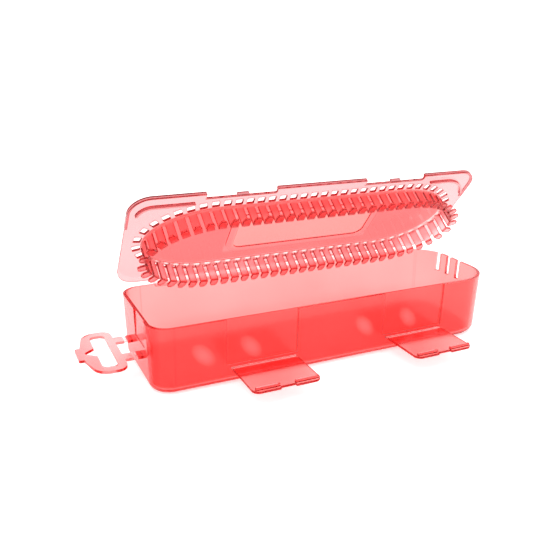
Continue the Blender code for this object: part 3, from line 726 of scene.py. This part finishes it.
# The latches' rounded edges take a painted dark outline: painted shade.
latch_edge = painted_outline_finish("latch_edge", (0.30, 0.08, 0.09, 1), (0.45, 0.14, 0.15, 1), 0.2 * DEPTH)
for side, middle in zip(("left", "right"), latch_middles):
    at = Vector((middle, 0, latch_pivot.z))
    latch = block(f"latch_{side}_plate", at + Vector((-LATCH_HALF, latch_free, -LATCH_TOP)),
                  at + Vector((LATCH_HALF, latch_high.y, LATCH_TOP)))
    round_corners(latch, 3.0 * MM, 8, lambda edge: upright(edge) and edge.verts[0].co.y < latch_free + MM)
    for hand in (-1, 1):
        bead_middle = at + Vector((hand * (NOTCH_HALF + BEAD_LENGTH / 2), 0, 0))
        bead_end = Vector((BEAD_LENGTH / 2, latch_free + BEAD_START + BEAD_WIDTH, LATCH_TOP + 1.2 * MM))
        bead = block("bead", bead_middle + Vector((-BEAD_LENGTH / 2, latch_free + BEAD_START, 0)),
                     bead_middle + bead_end)
        combine(latch, bead, "UNION")
    combine(latch, block("notch", at + Vector((-NOTCH_HALF, latch_free - SPARE, -SPARE)),
                         at + Vector((NOTCH_HALF, latch_free + 1.0 * MM, SPARE))), "DIFFERENCE")
    soften(latch, 0.24 * MM)
    coat(latch, latch_plastic, latch_edge)
    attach(latch, f"latch_{side}")
    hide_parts(f"latch_{side}")

    web = block(f"latch_web_{side}", at + Vector((-LATCH_HALF, latch_pivot.y - WEB_HALF, -WEB / 2)),
                at + Vector((LATCH_HALF, latch_pivot.y + WEB_HALF, WEB / 2)))
    for line in WEB_LINES:
        reshape(web, "FACE", anything, bpy.ops.mesh.bisect, plane_co=(0, latch_pivot.y + line, 0),
                plane_no=(0, 1, 0))
    web.data.materials.append(web_plastic)
    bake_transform(web)
    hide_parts(f"latch_{side}_hinge_web")

# ------------------------------------------------------------------ hang tab and its webs
# A flat loop with the standard long slot for a display peg. Two arms join it, through webs, to the stubs on
# the end wall. It is the thinnest and palest part of the moulding.
TAB_HALF = tab_high.y
ARM_END = tab_pivot.x - 4.6 * MM
RING_FAR = ARM_END - 15.2 * MM
SHOULDER = 3.2 * MM
TIP_HALF = 5.8 * MM
SLOT_HALF = 15.5 * MM
PEAK_HALF = 4.4 * MM
SLOT_NEAR = ARM_END - 3.2 * MM
SLOT_FAR = SLOT_NEAR - 6.4 * MM

tab = block("hang_loop", (RING_FAR + SHOULDER, -TAB_HALF, tab_low.z), (ARM_END, TAB_HALF, tab_high.z))
reshape(tab, "FACE", facing(-1, 0, 0), bpy.ops.mesh.extrude_region_move,
        TRANSFORM_OT_translate={"value": (-SHOULDER, 0, 0)})
reshape(tab, "FACE", facing(-1, 0, 0), bpy.ops.transform.resize, value=(1, TIP_HALF / TAB_HALF, 1),
        center_override=(0, 0, 0))
round_corners(tab, 4.5 * MM, 10, lambda edge: upright(edge) and edge.verts[0].co.x > ARM_END - 0.1 * MM)
round_corners(tab, 5.0 * MM, 10, lambda edge: upright(edge)
              and abs(edge.verts[0].co.x - RING_FAR - SHOULDER) < 0.1 * MM)
tip = rounded_block("tip", (tab_low.x, -TIP_HALF, tab_low.z), (RING_FAR + 1.5 * MM, TIP_HALF, tab_high.z),
                    0.9 * MM, 6)
combine(tab, tip, "UNION")
for arm_low, arm_high in arm_boxes:
    combine(tab, block("arm", (ARM_END - 1.0 * MM, arm_low.y, tab_low.z),
                       (tab_pivot.x - 0.8 * MM, arm_high.y, tab_high.z)), "UNION")
combine(tab, rounded_block("slot", (SLOT_FAR, -SLOT_HALF, tab_low.z - SPARE),
                           (SLOT_NEAR, SLOT_HALF, tab_high.z + SPARE), 2.4 * MM, 8), "DIFFERENCE")
peak = block("peak", (SLOT_FAR - PEAK_HALF, -PEAK_HALF, tab_low.z - SPARE),
             (SLOT_FAR + 0.6 * MM, PEAK_HALF, tab_high.z + SPARE))
reshape(peak, "FACE", facing(-1, 0, 0), bpy.ops.transform.resize, value=(1, 0.16, 1),
        center_override=(0, 0, 0))
round_corners(peak, 0.6 * MM, 4, lambda edge: upright(edge) and edge.verts[0].co.x < SLOT_FAR - MM)
combine(tab, peak, "DIFFERENCE")
soften(tab, 0.18 * MM)


def tab_finish():
    """Pale rose that deepens towards the loop's tip."""
    finish = Finish("pale_rose", 0.12, 0.2 * DEPTH)
    x, y, z = finish.axes(finish.place)
    cloud = finish.noise(50.0, 3.0)
    tip = 1 - x.above(SLOT_FAR, 14 * MM)
    body = finish.mix(cloud, (0.86, 0.56, 0.56, 1), (0.86, 0.48, 0.48, 1))
    finish.colour(finish.mix(tip * 0.6, body, (0.93, 0.20, 0.21, 1)))
    finish.surface(0.10 + cloud * 0.08, finish.noise(140.0), 0.04 * MM)
    return finish.material


# The tab's rounded edges take a painted dark outline: painted shade.
coat(tab, tab_finish(), painted_outline_finish("tab_edge", (0.32, 0.18, 0.18, 1), (0.45, 0.26, 0.26, 1), 0.2 * DEPTH))
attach(tab, "hang_tab")
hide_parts("hang_tab")
for side, (arm_low, arm_high) in zip(("front", "back"), arm_boxes):
    web = block(f"tab_web_{side}", (tab_pivot.x - WEB_HALF, arm_low.y, tab_pivot.z - WEB / 2),
                (tab_pivot.x + WEB_HALF, arm_high.y, tab_pivot.z + WEB / 2))
    for line in WEB_LINES:
        reshape(web, "FACE", anything, bpy.ops.mesh.bisect, plane_co=(tab_pivot.x + line, 0, 0),
                plane_no=(1, 0, 0))
    web.data.materials.append(web_plastic)
    middle = Vector((0, (arm_low.y + arm_high.y) / 2, tab_pivot.z))
    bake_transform(web)
    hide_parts(f"hang_tab_hinge_web_{side}")

# ------------------------------------------------------------------ studio
# A white table that glows a little, under an even white sky, with one soft lamp high at the left for the
# glints. Light crosses many walls of the case, so many bounces are allowed.
bpy.ops.object.select_all(action="DESELECT")
bpy.ops.mesh.primitive_plane_add(size=6, location=(0, 0, -0.5 * MM))
table = bpy.context.object
table.name = "table"
paper = bpy.data.materials.new("paper")
paper.use_nodes = True
paper_shader = paper.node_tree.nodes["Principled BSDF"]
paper_shader.inputs["Base Color"].default_value = (0.85, 0.85, 0.85, 1)
paper_shader.inputs["Roughness"].default_value = 1.0
paper_shader.inputs["Emission Color"].default_value = (1, 1, 1, 1)
paper_shader.inputs["Emission Strength"].default_value = 0.5
table.data.materials.append(paper)

sky = bpy.data.worlds.new("white_sky")
sky.use_nodes = True
sky.node_tree.nodes["Background"].inputs["Color"].default_value = (1, 1, 1, 1)
sky.node_tree.nodes["Background"].inputs["Strength"].default_value = 1.3
bpy.context.scene.world = sky

bpy.ops.object.light_add(type="AREA", location=(-0.5, -0.5, 0.9))
lamp = bpy.context.object
lamp.data.size = 0.25
lamp.data.energy = 2
lamp.rotation_euler = (Vector((0, 0, 0.03)) - lamp.location).to_track_quat("-Z", "Y").to_euler()

bpy.ops.object.camera_add(location=(-144.83 * MM, -263.34 * MM, 136.91 * MM))
camera = bpy.context.object
camera.data.lens = 44.7
camera.data.sensor_width = 36
look = Euler((math.radians(90 - 19.227), 0, math.radians(-25.367))).to_matrix()
camera.rotation_euler = (look @ Matrix.Rotation(math.radians(0.797), 3, "Z")).to_euler()
scene = bpy.context.scene
scene.camera = camera
scene.view_settings.view_transform = "Standard"
BOUNCES = 32
scene.cycles.max_bounces = BOUNCES
scene.cycles.transmission_bounces = BOUNCES
scene.cycles.transparent_max_bounces = BOUNCES
scene.cycles.glossy_bounces = BOUNCES
